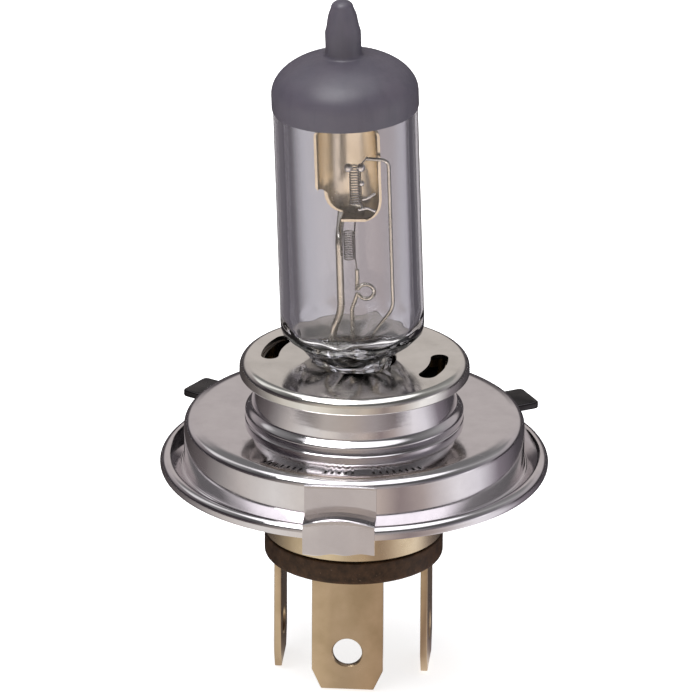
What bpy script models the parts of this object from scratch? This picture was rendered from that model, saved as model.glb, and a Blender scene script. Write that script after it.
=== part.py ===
"""Two-filament halogen headlight bulb on a three-lug reference-ring base.

Lengths in this file are millimetres and are turned into metres by MM when a mesh is made.
The origin is on the base axis, in the plane of the reference ring's flat top face.
+Z runs towards the glass tip, -Y towards the wide lug and the single front terminal.
"""

import math

import bmesh
import bpy
from mathutils import Matrix, Vector

MM = 0.001

# Reference ring: a pressed dish with a collar, a wall, a flange with a rolled bead and three lugs
RING_RADIUS = 19.1
SHEET = 0.6
COLLAR_RADIUS = 12.25
COLLAR_HEIGHT = 2.75
SHOULDER_RADIUS = 1.7
WALL_BOTTOM_Z = -5.0
FLANGE_FILLET = 0.5
FLANGE_RADIUS = 21.8
BEAD_RADIUS = 0.7
WIDE_LUG_WIDTH = 8.0
WIDE_LUG_REACH = 21.5
WIDE_LUG_TOP_Z = -3.9
WIDE_LUG_BOTTOM_Z = -5.65
NARROW_LUG_WIDTH = 4.6
NARROW_LUG_REACH = 22.1
NARROW_LUG_TOP_Z = -1.4
NARROW_LUG_BOTTOM_Z = -2.2
LUG_ANGLES = {"wide": -90.0, "left": 150.0, "right": 30.0}
TAB_BOTTOM_Z = -7.7

# Base shells
NECK_RADIUS = 10.7
NECK_WALL = 0.5
NECK_BOTTOM_Z = -4.6
HEAD_TOP_Z = 7.0
HEAD_RIM_RADIUS = 12.9
HEAD_RIM_BOTTOM_Z = 5.3
HEAD_EDGE_ROUND = 0.55
HEAD_HOLE_RADIUS = 4.6
HEAD_SHEET = 0.5
SLOT_PITCH_RADIUS = 9.5
SLOT_WIDTH = 2.0
SLOT_SPAN = 43.0
SLOT_ANGLES = (166.0, -11.0)
CUP_RADIUS = 10.0
CUP_WALL = 0.4
CUP_TOP_Z = -1.0
CUP_BOTTOM_Z = -13.7

# Insulator and terminals
PLATE_RADIUS = 10.05
PLATE_TOP_Z = -13.8
PLATE_BOTTOM_Z = -16.5
SPIGOT_RADIUS = 9.4
SPIGOT_TOP_Z = -11.6
BLADE_WIDTH = 8.0
BLADE_THICKNESS = 0.8
BLADE_OFFSET = 8.25
BLADE_TIP_Z = -29.8
BLADE_TIP_WIDTH = 5.9
BLADE_CHAMFER_HEIGHT = 2.3
BLADE_HOLE_DIAMETER = 3.3
BLADE_HOLE_HEIGHT = 4.5
TANG_WIDTH = 4.0
TANG_TOP_Z = -8.6
BLADE_ANGLES = {"front": -90.0, "left": 180.0, "right": 0.0}

# Glass capsule: it leans a little in its clip, towards -X
CAPSULE_LEAN = 2.0
CAPSULE_PIVOT_Z = 4.0
GLASS_RADIUS = 8.05
GLASS_WALL = 1.1
DOME_BASE_Z = 38.8
DOME_HEIGHT = 4.4
FUNNEL_BOTTOM_Z = 6.6
FUNNEL_TOP_Z = 10.2
PINCH_HALF_WIDTH = 3.7
PINCH_HALF_DEPTH = 1.6
PINCH_BOTTOM_Z = -3.0
CAVITY_BOTTOM_Z = 8.6
STEM_RADIUS = 1.86
STEM_TOP_Z = 46.0
NUB_RADIUS = 1.12
NUB_END_Z = 48.8
TIP_Z = 49.55
COATING_EDGE_Z = 37.0
COATING_THICKNESS = 0.1
COATING_GAP = 0.04

# Inside the capsule
LEAD_SPACING = 2.3
LEAD_RADIUS = 0.3
COMMON_LEAD_RADIUS = 0.42
FOIL_TOP_Z = 4.4
FOIL_BOTTOM_Z = 0.2
FOIL_WIDTH = 1.7
FOIL_THICKNESS = 0.12
SHIELD_RADIUS = 3.7
SHIELD_SHEET = 0.3
SHIELD_BOTTOM_Z = 23.4
SHIELD_TOP_Z = 34.0
SHIELD_CUT_X = -0.9
SHIELD_CUT_TOP_Z = 27.6
COIL_RADIUS = 0.65
COIL_WIRE_RADIUS = 0.11

LATHE_STEPS = 40
CAPSULE_STEPS = 28
EPS = 1e-7


# ---------------------------------------------------------------- shared helpers

def clear_scene():
    for obj in list(bpy.data.objects):
        bpy.data.objects.remove(obj, do_unlink=True)


def material(name, colour, metallic, roughness, alpha=1.0):
    made = bpy.data.materials.get(name) or bpy.data.materials.new(name)
    made.use_nodes = True
    shader = made.node_tree.nodes["Principled BSDF"]
    shader.inputs["Base Color"].default_value = (*colour, 1.0)
    shader.inputs["Metallic"].default_value = metallic
    shader.inputs["Roughness"].default_value = roughness
    shader.inputs["Alpha"].default_value = alpha
    made.diffuse_color = (*colour, alpha)
    return made


def steel():
    return material("plated_steel", (0.72, 0.71, 0.69), 1.0, 0.16)


def brass():
    return material("plated_brass", (0.62, 0.50, 0.34), 1.0, 0.28)


def glass():
    return material("quartz_glass", (0.84, 0.84, 0.88), 0.0, 0.03, 0.3)


def molybdenum():
    return material("molybdenum", (0.62, 0.60, 0.55), 1.0, 0.3)


def tungsten():
    return material("tungsten", (0.55, 0.54, 0.54), 1.0, 0.35)


def coating_paint():
    return material("opaque_coating", (0.17, 0.165, 0.20), 0.0, 0.35)


def phenolic():
    return material("phenolic", (0.035, 0.02, 0.012), 0.0, 0.5)


def add_object(name, bm, finish, parent=None, smooth=30.0):
    """Turn a bmesh drawn in millimetres into a closed, smooth-shaded object in metres."""
    bmesh.ops.recalc_face_normals(bm, faces=bm.faces)
    bmesh.ops.scale(bm, vec=(MM, MM, MM), verts=bm.verts)
    mesh = bpy.data.meshes.new(name)
    bm.to_mesh(mesh)
    bm.free()
    mesh.shade_smooth()
    mesh.set_sharp_from_angle(angle=math.radians(smooth))
    obj = bpy.data.objects.new(name, mesh)
    bpy.context.scene.collection.objects.link(obj)
    if finish:
        mesh.materials.append(finish)
    obj.parent = parent
    return obj


def hide_guide(obj):
    obj.hide_render = True
    obj.display_type = "WIRE"
    return obj


def boolean(target, cutter, operation="DIFFERENCE"):
    modifier = target.modifiers.new(cutter.name, "BOOLEAN")
    modifier.operation = operation
    modifier.solver = "EXACT"
    modifier.object = cutter
    return hide_guide(cutter)


def arc(centre, radius, start, end, steps):
    """Points on an arc from start to end degrees, both ends included."""
    angles = [math.radians(start + (end - start) * i / steps) for i in range(steps + 1)]
    return [(centre[0] + radius * math.cos(a), centre[1] + radius * math.sin(a)) for a in angles]


def lathe(outline, steps=LATHE_STEPS):
    """Spin a closed (radius, z) outline about Z; an outline may start and end on the axis."""
    bm = bmesh.new()
    verts = [bm.verts.new((r, 0.0, z)) for r, z in outline]
    pairs = list(zip(verts, verts[1:]))
    if outline[0][0] > EPS:
        pairs.append((verts[-1], verts[0]))
    edges = [bm.edges.new(pair) for pair in pairs]
    bmesh.ops.spin(bm, geom=verts + edges, cent=(0, 0, 0), axis=(0, 0, 1),
                   angle=math.tau, steps=steps, use_merge=True)
    bmesh.ops.remove_doubles(bm, verts=bm.verts, dist=1e-4)
    return bm


def prism(points, low, high, axis="Z"):
    """Extrude a flat outline between two heights along Z, or across X or Y with (other, z) points."""
    bm = bmesh.new()
    place = {"Z": lambda p, h: (p[0], p[1], h), "X": lambda p, h: (h, p[0], p[1]),
             "Y": lambda p, h: (p[0], h, p[1])}[axis]
    face = bm.faces.new([bm.verts.new(place(p, low)) for p in points])
    made = bmesh.ops.extrude_face_region(bm, geom=[face])
    top = [v for v in made["geom"] if isinstance(v, bmesh.types.BMVert)]
    step = Vector(place((0, 0), high)) - Vector(place((0, 0), low))
    bmesh.ops.translate(bm, verts=top, vec=step)
    return bm


def superellipse(a, b, power, z, steps=CAPSULE_STEPS):
    """A level ring of points that goes from an ellipse (power 2) to a rounded rectangle."""
    ring = []
    for i in range(steps):
        angle = math.tau * i / steps
        c, s = math.cos(angle), math.sin(angle)
        ring.append((a * math.copysign(abs(c) ** (2 / power), c),
                     b * math.copysign(abs(s) ** (2 / power), s), z))
    return ring


def loft(rings):
    """Skin rings of equal point counts and close both ends."""
    bm = bmesh.new()
    loops = [[bm.verts.new(p) for p in ring] for ring in rings]
    for low, high in zip(loops, loops[1:]):
        for i, vert in enumerate(low):
            j = (i + 1) % len(low)
            bm.faces.new((vert, low[j], high[j], high[i]))
    bm.faces.new(list(reversed(loops[0])))
    bm.faces.new(loops[-1])
    return bm


def cylinder(radius, low, high, centre=(0.0, 0.0), steps=16):
    ring = [(centre[0] + radius * math.cos(math.tau * i / steps),
             centre[1] + radius * math.sin(math.tau * i / steps)) for i in range(steps)]
    return prism(ring, low, high)


def join(*parts):
    """Merge several bmeshes that don't touch into one."""
    joined = bmesh.new()
    for part in parts:
        scratch = bpy.data.meshes.new("scratch")
        part.to_mesh(scratch)
        joined.from_mesh(scratch)
        part.free()
        bpy.data.meshes.remove(scratch)
    return joined


def rounded_path(points, bend, steps=4):
    """Replace each inner corner of a polyline by a short circular-looking bend."""
    path = [Vector(points[0])]
    for before, corner, after in zip(points, points[1:], points[2:]):
        before, corner, after = Vector(before), Vector(corner), Vector(after)
        back, onward = before - corner, after - corner
        reach = min(bend, back.length * 0.45, onward.length * 0.45)
        start, end = corner + back.normalized() * reach, corner + onward.normalized() * reach
        for i in range(steps + 1):
            t = i / steps
            path.append(start * (1 - t) ** 2 + corner * 2 * t * (1 - t) + end * t ** 2)
    path.append(Vector(points[-1]))
    return path


def wire(name, points, radius, finish, parent=None, sides=2):
    """A round wire with closed ends through the given points."""
    curve = bpy.data.curves.new(name, "CURVE")
    curve.dimensions = "3D"
    curve.bevel_depth = radius * MM
    curve.bevel_resolution = sides
    curve.use_fill_caps = True
    spline = curve.splines.new("POLY")
    spline.points.add(len(points) - 1)
    for point, place in zip(spline.points, points):
        point.co = (*(Vector(place) * MM), 1.0)
    curve.materials.append(finish)
    obj = bpy.data.objects.new(name, curve)
    bpy.context.scene.collection.objects.link(obj)
    obj.parent = parent
    return obj


def turn(obj, degrees):
    obj.rotation_euler = (0.0, 0.0, math.radians(degrees))
    return obj


# ---------------------------------------------------------------- reference ring

def ring_outline():
    """The pressed sheet's section, once along its outside and back along its inside."""
    bore = NECK_RADIUS + 0.15
    swell, inner_swell = COLLAR_RADIUS - bore, COLLAR_RADIUS - SHEET - bore
    shoulder = (RING_RADIUS - SHOULDER_RADIUS, -SHOULDER_RADIUS)
    fillet = (RING_RADIUS + FLANGE_FILLET, WALL_BOTTOM_Z)
    flange_top = WALL_BOTTOM_Z - FLANGE_FILLET
    flange_bottom = flange_top - SHEET
    bead = (FLANGE_RADIUS - BEAD_RADIUS, flange_bottom + BEAD_RADIUS)
    outside = [(bore + swell * math.sin(t), COLLAR_HEIGHT * math.cos(t) ** 1.3)
               for t in (math.radians(a) for a in (0, 18, 36, 54, 72, 86))]
    outside += [(COLLAR_RADIUS + 0.12, 0.0)]
    outside += arc(shoulder, SHOULDER_RADIUS, 90, 0, 5)
    outside += arc(fillet, FLANGE_FILLET, 180, 270, 3)
    outside += arc(bead, BEAD_RADIUS, 172, -90, 9)
    inside = arc(fillet, FLANGE_FILLET + SHEET, 270, 180, 3)
    inside += arc(shoulder, SHOULDER_RADIUS - SHEET, 0, 90, 3)
    inside += [(bore + inner_swell * math.sin(t), -SHEET + COLLAR_HEIGHT * math.cos(t) ** 1.3)
               for t in (math.radians(a) for a in (86, 60, 36, 0))]
    return outside + inside


def lug_plan(width, reach):
    """A lug seen from above, pointing along +X, its root curved to lie inside the ring's wall."""
    half = width / 2
    root = RING_RADIUS - SHEET / 2
    spread = math.degrees(math.asin(half / root))
    corner = 0.5
    tip = arc((reach - corner, half - corner), corner, 90, 0, 2)
    tip += [(x, -y) for x, y in reversed(tip)]
    return tip + arc((0.0, 0.0), root, -spread, spread, 5)


def front_tab():
    """The short tab that hangs from the wide lug in front of the flange."""
    outline = [(-21.0, -4.6), (-21.0, -6.4), (-20.8, TAB_BOTTOM_Z), (-21.4, TAB_BOTTOM_Z - 0.15),
               (-21.7, -6.5), (-21.7, -4.6)]
    return prism(outline, -WIDE_LUG_WIDTH / 2, WIDE_LUG_WIDTH / 2, "X")


def wide_boss():
    """The flat-faced boss pressed out of the wall behind the wide lug."""
    face, back = -(RING_RADIUS + 0.25), -(RING_RADIUS - SHEET / 2)
    outline = [(back, -0.9), (face + 0.5, -0.9), (face, -1.5), (face, -5.3), (back, -5.3)]
    return prism(outline, -WIDE_LUG_WIDTH / 2, WIDE_LUG_WIDTH / 2, "X")


def build_reference_ring():
    ring = add_object("reference_ring", lathe(ring_outline()), steel())
    for side, angle in LUG_ANGLES.items():
        if side == "wide":
            lug = prism(lug_plan(WIDE_LUG_WIDTH, WIDE_LUG_REACH), WIDE_LUG_BOTTOM_Z, WIDE_LUG_TOP_Z)
        else:
            lug = prism(lug_plan(NARROW_LUG_WIDTH, NARROW_LUG_REACH), NARROW_LUG_BOTTOM_Z, NARROW_LUG_TOP_Z)
        boolean(ring, turn(add_object("lug_" + side, lug, None), angle), "UNION")
    boolean(ring, add_object("lug_boss", wide_boss(), None), "UNION")
    boolean(ring, add_object("lug_tab", front_tab(), None), "UNION")


# ---------------------------------------------------------------- base shells

def kidney(angle):
    """A curved slot with round ends through the cap head."""
    half_span, half_width = SLOT_SPAN / 2, SLOT_WIDTH / 2
    end = math.degrees(half_width / SLOT_PITCH_RADIUS)
    start, stop = angle - half_span + end, angle + half_span - end
    centres = [(SLOT_PITCH_RADIUS * math.cos(math.radians(a)),
                SLOT_PITCH_RADIUS * math.sin(math.radians(a))) for a in (start, stop)]
    points = arc((0, 0), SLOT_PITCH_RADIUS + half_width, start, stop, 6)
    points += arc(centres[1], half_width, stop, stop + 180, 6)[1:]
    points += arc((0, 0), SLOT_PITCH_RADIUS - half_width, stop, start, 6)[1:]
    points += arc(centres[0], half_width, start + 180, start + 360, 6)[1:-1]
    return prism(points, HEAD_TOP_Z - 2.0, HEAD_TOP_Z + 1.0)


def build_cap_head():
    """The flat lid with a turned-down rim; the pinch passes through its middle."""
    edge = (HEAD_RIM_RADIUS - HEAD_EDGE_ROUND, HEAD_TOP_Z - HEAD_EDGE_ROUND)
    under = HEAD_TOP_Z - HEAD_SHEET
    outline = [(HEAD_HOLE_RADIUS, HEAD_TOP_Z)]
    outline += arc(edge, HEAD_EDGE_ROUND, 90, 0, 4)
    outline += [(HEAD_RIM_RADIUS, HEAD_RIM_BOTTOM_Z), (HEAD_RIM_RADIUS - HEAD_SHEET, HEAD_RIM_BOTTOM_Z)]
    outline += arc(edge, HEAD_EDGE_ROUND - HEAD_SHEET, 0, 90, 2)
    outline += [(HEAD_HOLE_RADIUS, under)]
    head = add_object("cap_head", lathe(outline), steel())
    for index, angle in enumerate(SLOT_ANGLES):
        boolean(head, add_object(f"slot_cutter_{index + 1}", kidney(angle), None))


def tube_outline(radius, wall, low, high):
    return [(radius, high), (radius, low), (radius - wall, low), (radius - wall, high)]


def build_neck_sleeve():
    top = HEAD_TOP_Z - HEAD_SHEET - 0.1
    bm = lathe(tube_outline(NECK_RADIUS, NECK_WALL, NECK_BOTTOM_Z, top))
    add_object("neck_sleeve", bm, steel())


def build_terminal_cup():
    bm = lathe(tube_outline(CUP_RADIUS, CUP_WALL, CUP_BOTTOM_Z, CUP_TOP_Z))
    add_object("terminal_cup", bm, brass())


# ---------------------------------------------------------------- insulator and terminals

def blade_outline(clearance=0.0):
    """A terminal's outline in its own plane: a wide blade with a chamfered tip and a narrow tang."""
    half, tip, tang = BLADE_WIDTH / 2, BLADE_TIP_WIDTH / 2, TANG_WIDTH / 2
    neck_z = PLATE_TOP_Z - 0.4
    half, tang, neck_z = half + clearance, tang + clearance, neck_z + clearance
    top = TANG_TOP_Z + clearance
    right = [(tip, BLADE_TIP_Z), (half, BLADE_TIP_Z + BLADE_CHAMFER_HEIGHT), (half, neck_z),
             (tang, neck_z), (tang, top)]
    return right + [(-x, z) for x, z in reversed(right)]


def blade_solid(clearance=0.0):
    near = BLADE_OFFSET - BLADE_THICKNESS / 2 - clearance
    far = BLADE_OFFSET + BLADE_THICKNESS / 2 + clearance
    return prism(blade_outline(clearance), near, far, "X")


def blade_hole(name, angle):
    bm = cylinder(BLADE_HOLE_DIAMETER / 2, BLADE_OFFSET - 2, BLADE_OFFSET + 2, steps=24)
    bmesh.ops.rotate(bm, verts=bm.verts, cent=(0, 0, 0), matrix=Matrix.Rotation(math.pi / 2, 3, "Y"))
    bmesh.ops.translate(bm, verts=bm.verts, vec=(0, 0, BLADE_TIP_Z + BLADE_HOLE_HEIGHT))
    return turn(add_object(name, bm, None), angle)


def build_terminal(side, angle):
    blade = turn(add_object("blade_" + side, blade_solid(), brass()), angle)
    boolean(blade, blade_hole("blade_hole_" + side, angle))


def build_insulator_plate():
    """A moulded disc with a spigot that enters the terminal cup and three slots for the blades."""
    outline = [(0.0, SPIGOT_TOP_Z), (SPIGOT_RADIUS, SPIGOT_TOP_Z), (SPIGOT_RADIUS, PLATE_TOP_Z)]
    outline += [(PLATE_RADIUS, PLATE_TOP_Z)]
    outline += arc((PLATE_RADIUS - 0.5, PLATE_BOTTOM_Z + 0.5), 0.5, 0, -90, 3)
    outline += [(0.0, PLATE_BOTTOM_Z)]
    plate = add_object("insulator_plate", lathe(outline), phenolic())
    for side, angle in BLADE_ANGLES.items():
        cutter = turn(add_object("blade_slot_" + side, blade_solid(0.12), None), angle)
        boolean(plate, cutter)


# ---------------------------------------------------------------- glass capsule

def capsule_lean():
    """The turn about Y, through a point a little above the ring plane, that leans the capsule."""
    pivot = Matrix.Translation((0.0, 0.0, CAPSULE_PIVOT_Z * MM))
    return pivot @ Matrix.Rotation(-math.radians(CAPSULE_LEAN), 4, "Y") @ pivot.inverted()


def capsule_frame():
    """Everything held by the glass hangs from this empty, which carries the lean."""
    frame = bpy.data.objects.new("capsule_axis", None)
    frame.matrix_world = capsule_lean()
    bpy.context.scene.collection.objects.link(frame)
    return frame


def crown_outline(offset=0.0):
    """The dome and the sealed-off exhaust tip, from the straight tube to the axis."""
    stop = math.degrees(math.acos((STEM_RADIUS + 0.5) / GLASS_RADIUS))
    dome = []
    for i in range(9):
        angle = math.radians(stop * i / 8)
        r, z = GLASS_RADIUS * math.cos(angle), DOME_BASE_Z + DOME_HEIGHT * math.sin(angle)
        normal = Vector((math.cos(angle) / GLASS_RADIUS, math.sin(angle) / DOME_HEIGHT)).normalized()
        dome.append((r + offset * normal.x, z + offset * normal.y))
    stem_foot = dome[-1][1] + 0.7
    stem = [(STEM_RADIUS + offset, stem_foot), (STEM_RADIUS + offset, STEM_TOP_Z),
            ((STEM_RADIUS + NUB_RADIUS) / 2 + 0.04 + offset, (STEM_TOP_Z + NUB_END_Z) / 2),
            (NUB_RADIUS + offset, NUB_END_Z)]
    end = []
    for degrees in (30, 55, 75):
        angle = math.radians(degrees)
        end.append(((NUB_RADIUS + offset) * math.cos(angle),
                    NUB_END_Z + (TIP_Z - NUB_END_Z + offset) * math.sin(angle)))
    return dome + stem + end


def smoothstep(t):
    return t * t * (3 - 2 * t)


def funnel_rings():
    """From the flat pinch up to the round tube."""
    rings = [superellipse(PINCH_HALF_WIDTH, PINCH_HALF_DEPTH, 5.0, PINCH_BOTTOM_Z)]
    steps = 7
    for i in range(steps + 1):
        t = i / steps
        blend = smoothstep(t)
        rings.append(superellipse(PINCH_HALF_WIDTH + (GLASS_RADIUS - PINCH_HALF_WIDTH) * blend,
                                  PINCH_HALF_DEPTH + (GLASS_RADIUS - PINCH_HALF_DEPTH) * blend,
                                  2 + 3 * (1 - t) ** 2,
                                  FUNNEL_BOTTOM_Z + (FUNNEL_TOP_Z - FUNNEL_BOTTOM_Z) * t))
    return rings


def cavity_solid():
    """The gas space inside the glass."""
    bore = GLASS_RADIUS - GLASS_WALL
    floor_half_width, floor_half_depth = 3.0, 2.2
    rings = []
    for i in range(5):
        t = i / 4
        blend = math.sin(t * math.pi / 2)
        rings.append(superellipse(floor_half_width + (bore - floor_half_width) * blend,
                                  floor_half_depth + (bore - floor_half_depth) * blend,
                                  2.0, CAVITY_BOTTOM_Z + 3.0 * t ** 1.5))
    for i in range(8):
        angle = math.radians(84 * i / 7)
        radius = bore * math.cos(angle)
        rings.append(superellipse(radius, radius, 2.0,
                                  DOME_BASE_Z - 0.2 + (DOME_HEIGHT - 0.9) * math.sin(angle)))
    return loft(rings)


def build_glass_envelope(frame):
    rings = funnel_rings()
    rings += [superellipse(r, r, 2.0, z) for r, z in crown_outline()]
    envelope = add_object("glass_envelope", loft(rings), glass(), frame)
    boolean(envelope, add_object("cavity_cutter", cavity_solid(), None, frame))
    places = [-LEAD_SPACING, 0.0, LEAD_SPACING]
    channels = join(*[cylinder(COMMON_LEAD_RADIUS + 0.14, PINCH_BOTTOM_Z - 1, CAVITY_BOTTOM_Z + 1.2,
                               (x, 0.0), 12) for x in places])
    boolean(envelope, add_object("lead_channels", channels, None, frame))
    half = FOIL_WIDTH / 2 + 0.12
    slots = join(*[prism([(x - half, -0.2), (x + half, -0.2), (x + half, 0.2), (x - half, 0.2)],
                         FOIL_BOTTOM_Z - 0.2, FOIL_TOP_Z + 0.2) for x in places])
    boolean(envelope, add_object("foil_slots", slots, None, frame))


def build_blackout_coating(frame):
    """A thin opaque cap over the dome and the tip."""
    inner = [(GLASS_RADIUS + COATING_GAP, COATING_EDGE_Z)] + crown_outline(COATING_GAP)
    outer = [(GLASS_RADIUS + COATING_GAP + COATING_THICKNESS, COATING_EDGE_Z)]
    outer += crown_outline(COATING_GAP + COATING_THICKNESS)
    inner_top = (0.0, TIP_Z + COATING_GAP)
    outer_top = (0.0, TIP_Z + COATING_GAP + COATING_THICKNESS)
    outline = [inner_top] + list(reversed(inner)) + outer + [outer_top]
    add_object("blackout_coating", lathe(outline, CAPSULE_STEPS), coating_paint(), frame)


# ---------------------------------------------------------------- inside the capsule

def build_low_beam_shield(frame):
    """A half-round trough, open towards -Y, with a dished lower end and one lowered corner."""
    centre_y = 0.2
    rings = []
    levels = [(SHIELD_BOTTOM_Z, 0.45), (SHIELD_BOTTOM_Z + 0.5, 0.72), (SHIELD_BOTTOM_Z + 1.3, 0.92),
              (SHIELD_BOTTOM_Z + 2.4, 1.0), (SHIELD_TOP_Z, 1.0)]
    for z, scale in levels:
        outer = arc((0.0, centre_y), SHIELD_RADIUS * scale, 0, 180, 14)
        inner = arc((0.0, centre_y), SHIELD_RADIUS * scale - SHIELD_SHEET, 180, 0, 14)
        rings.append([(x, y, z) for x, y in outer + inner])
    shield = add_object("low_beam_shield", loft(rings), molybdenum(), frame)
    floor = prism(arc((0.0, centre_y), SHIELD_RADIUS * 0.5, 0, 180, 10),
                  SHIELD_BOTTOM_Z, SHIELD_BOTTOM_Z + SHIELD_SHEET)
    boolean(shield, add_object("shield_floor", floor, None, frame), "UNION")
    corner = [(-SHIELD_RADIUS - 1, SHIELD_CUT_TOP_Z + 1.2), (-SHIELD_RADIUS - 1, SHIELD_BOTTOM_Z - 1),
              (SHIELD_CUT_X, SHIELD_BOTTOM_Z - 1), (SHIELD_CUT_X, SHIELD_BOTTOM_Z + 0.4)]
    boolean(shield, add_object("shield_corner", prism(corner, -1.0, 2.4, "Y"), None, frame))


def coil_points(x, y, low, high, turns, tail_low, tail_high):
    """A straight leg, an upright helix and a second straight leg."""
    per_turn = 8
    count = turns * per_turn
    helix = []
    for i in range(count + 1):
        angle = math.tau * i / per_turn
        helix.append((x + COIL_RADIUS * math.cos(angle), y + COIL_RADIUS * math.sin(angle),
                      low + (high - low) * i / count))
    return [tail_low] + helix + [tail_high]


def build_filaments(frame):
    low = coil_points(0.9, -0.9, 26.0, 30.6, 8, (1.6, -0.9, 25.2), (1.7, -0.95, 31.3))
    wire("low_beam_filament", low, COIL_WIRE_RADIUS, tungsten(), frame, 1)
    high = coil_points(0.0, -0.6, 19.2, 22.6, 6, (0.7, -0.6, 18.4), (0.62, -0.6, 23.1))
    wire("high_beam_filament", high, COIL_WIRE_RADIUS, tungsten(), frame, 1)


def build_inner_leads(frame):
    """Three leads rise from the pinch; the common one also carries the shield."""
    foot_z = FOIL_TOP_Z + 0.15
    common = [(-LEAD_SPACING, 0, foot_z), (-LEAD_SPACING, 0, 10.4), (-1.25, 0.3, 12.6),
              (-1.25, 0.3, 21.4), (-1.25, 4.7, 23.2), (-1.25, 4.7, 30.0)]
    wire("common_lead", rounded_path(common, 1.2), COMMON_LEAD_RADIUS, molybdenum(), frame)
    high = [(0, 0, foot_z), (0, 0, 13.0)] + support_loop(1.6, -0.5, 15.3, 0.95)
    high += [(0.75, -0.45, 17.0), (0.75, -0.6, 18.0)]
    wire("high_beam_lead", high, LEAD_RADIUS * 0.8, molybdenum(), frame)
    low = [(LEAD_SPACING, 0, foot_z), (LEAD_SPACING, 0, 10.2), (4.6, -0.2, 13.2), (4.6, -0.2, 30.9),
           (2.1, -0.95, 31.4)]
    wire("low_beam_lead", rounded_path(low, 0.9), LEAD_RADIUS, molybdenum(), frame)


def support_loop(x, y, z, radius):
    """One open turn of wire, facing -Y, that takes up expansion below the upper filament."""
    points = []
    steps = 16
    for i in range(steps + 1):
        angle = math.radians(200 + 320 * i / steps)
        points.append((x + radius * math.cos(angle), y - 0.9 * i / steps + 0.45,
                       z + radius * math.sin(angle)))
    return points


def build_foils(frame):
    """Thin foils sealed in the pinch, one for each circuit."""
    half, thin = FOIL_WIDTH / 2, FOIL_THICKNESS / 2
    for name, x in (("common", -LEAD_SPACING), ("high_beam", 0.0), ("low_beam", LEAD_SPACING)):
        outline = [(x - half, -thin), (x + half, -thin), (x + half, thin), (x - half, thin)]
        add_object("foil_" + name, prism(outline, FOIL_BOTTOM_Z, FOIL_TOP_Z), molybdenum(), frame)


def build_outer_leads(frame):
    """From each foil down to the tang of its terminal."""
    lean = capsule_lean()
    reach = BLADE_OFFSET - BLADE_THICKNESS / 2 - LEAD_RADIUS - 0.15
    ends = {"common": (-LEAD_SPACING, (-reach, 0)), "high_beam": (0.0, (0, -reach)),
            "low_beam": (LEAD_SPACING, (reach, 0))}
    for name, (x, (end_x, end_y)) in ends.items():
        start, foot = [lean @ (Vector((x, 0, z)) * MM) / MM for z in (FOIL_BOTTOM_Z - 0.15, -4.2)]
        points = [start, foot, (end_x, end_y, -8.2), (end_x, end_y, -10.8)]
        wire("outer_lead_" + name, rounded_path(points, 1.0), LEAD_RADIUS, molybdenum())


def build_pinch_holder(frame):
    """A sheet-metal box round the pinch with two ears welded under the cap head."""
    gap, sheet = 0.15, 0.4
    low, high = -2.4, 5.0
    rings = []
    for z, grow in ((low, gap + sheet), (high, gap + sheet)):
        rings.append(superellipse(PINCH_HALF_WIDTH + grow, PINCH_HALF_DEPTH + grow, 5.0, z))
    holder = add_object("pinch_holder", loft(rings), steel(), frame)
    ear_half_length, ear_half_width = 9.2, 2.4
    ear = [(ear_half_length, -ear_half_width), (ear_half_length, ear_half_width),
           (-ear_half_length, ear_half_width), (-ear_half_length, -ear_half_width)]
    ears = add_object("holder_ears", prism(ear, high - 0.6, high - 0.2), None, frame)
    boolean(holder, ears, "UNION")
    passage = [superellipse(PINCH_HALF_WIDTH + gap, PINCH_HALF_DEPTH + gap, 5.0, z)
               for z in (low - 1, high + 1)]
    boolean(holder, add_object("pinch_passage", loft(passage), None, frame))


def main():
    clear_scene()
    build_reference_ring()
    build_cap_head()
    build_neck_sleeve()
    build_terminal_cup()
    build_insulator_plate()
    for side, angle in BLADE_ANGLES.items():
        build_terminal(side, angle)
    frame = capsule_frame()
    build_glass_envelope(frame)
    build_blackout_coating(frame)
    build_low_beam_shield(frame)
    build_filaments(frame)
    build_inner_leads(frame)
    build_foils(frame)
    build_outer_leads(frame)
    build_pinch_holder(frame)


main()
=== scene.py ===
"""Looks of the headlight bulb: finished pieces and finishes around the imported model.

Lengths are millimetres, as in the part's own source, and MM turns them into metres when a mesh is made.
Angles are degrees.
"""
import math

import bmesh
import bpy
from mathutils import Matrix, Vector


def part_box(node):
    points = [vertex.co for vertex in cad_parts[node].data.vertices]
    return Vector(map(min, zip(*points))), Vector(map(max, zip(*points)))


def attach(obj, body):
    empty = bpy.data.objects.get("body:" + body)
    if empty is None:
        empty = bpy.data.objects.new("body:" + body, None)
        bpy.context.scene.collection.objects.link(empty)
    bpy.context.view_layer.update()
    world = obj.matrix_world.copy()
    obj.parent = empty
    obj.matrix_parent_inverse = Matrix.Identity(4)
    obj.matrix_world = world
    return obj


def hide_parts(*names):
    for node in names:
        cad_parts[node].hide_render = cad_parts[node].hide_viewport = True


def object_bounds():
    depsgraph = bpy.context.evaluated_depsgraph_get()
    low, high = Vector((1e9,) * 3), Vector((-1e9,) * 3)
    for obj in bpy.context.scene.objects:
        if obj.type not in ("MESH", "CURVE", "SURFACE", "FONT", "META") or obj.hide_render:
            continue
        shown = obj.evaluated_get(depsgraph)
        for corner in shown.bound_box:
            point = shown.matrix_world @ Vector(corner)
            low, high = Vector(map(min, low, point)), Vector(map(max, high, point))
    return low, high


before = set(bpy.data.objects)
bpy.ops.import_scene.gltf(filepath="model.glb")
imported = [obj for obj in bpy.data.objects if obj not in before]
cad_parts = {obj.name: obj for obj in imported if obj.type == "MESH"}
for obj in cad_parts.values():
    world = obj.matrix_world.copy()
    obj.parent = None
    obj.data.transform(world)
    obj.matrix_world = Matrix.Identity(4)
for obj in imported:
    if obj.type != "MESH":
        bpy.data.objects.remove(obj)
cad_low, cad_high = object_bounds()

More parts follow.
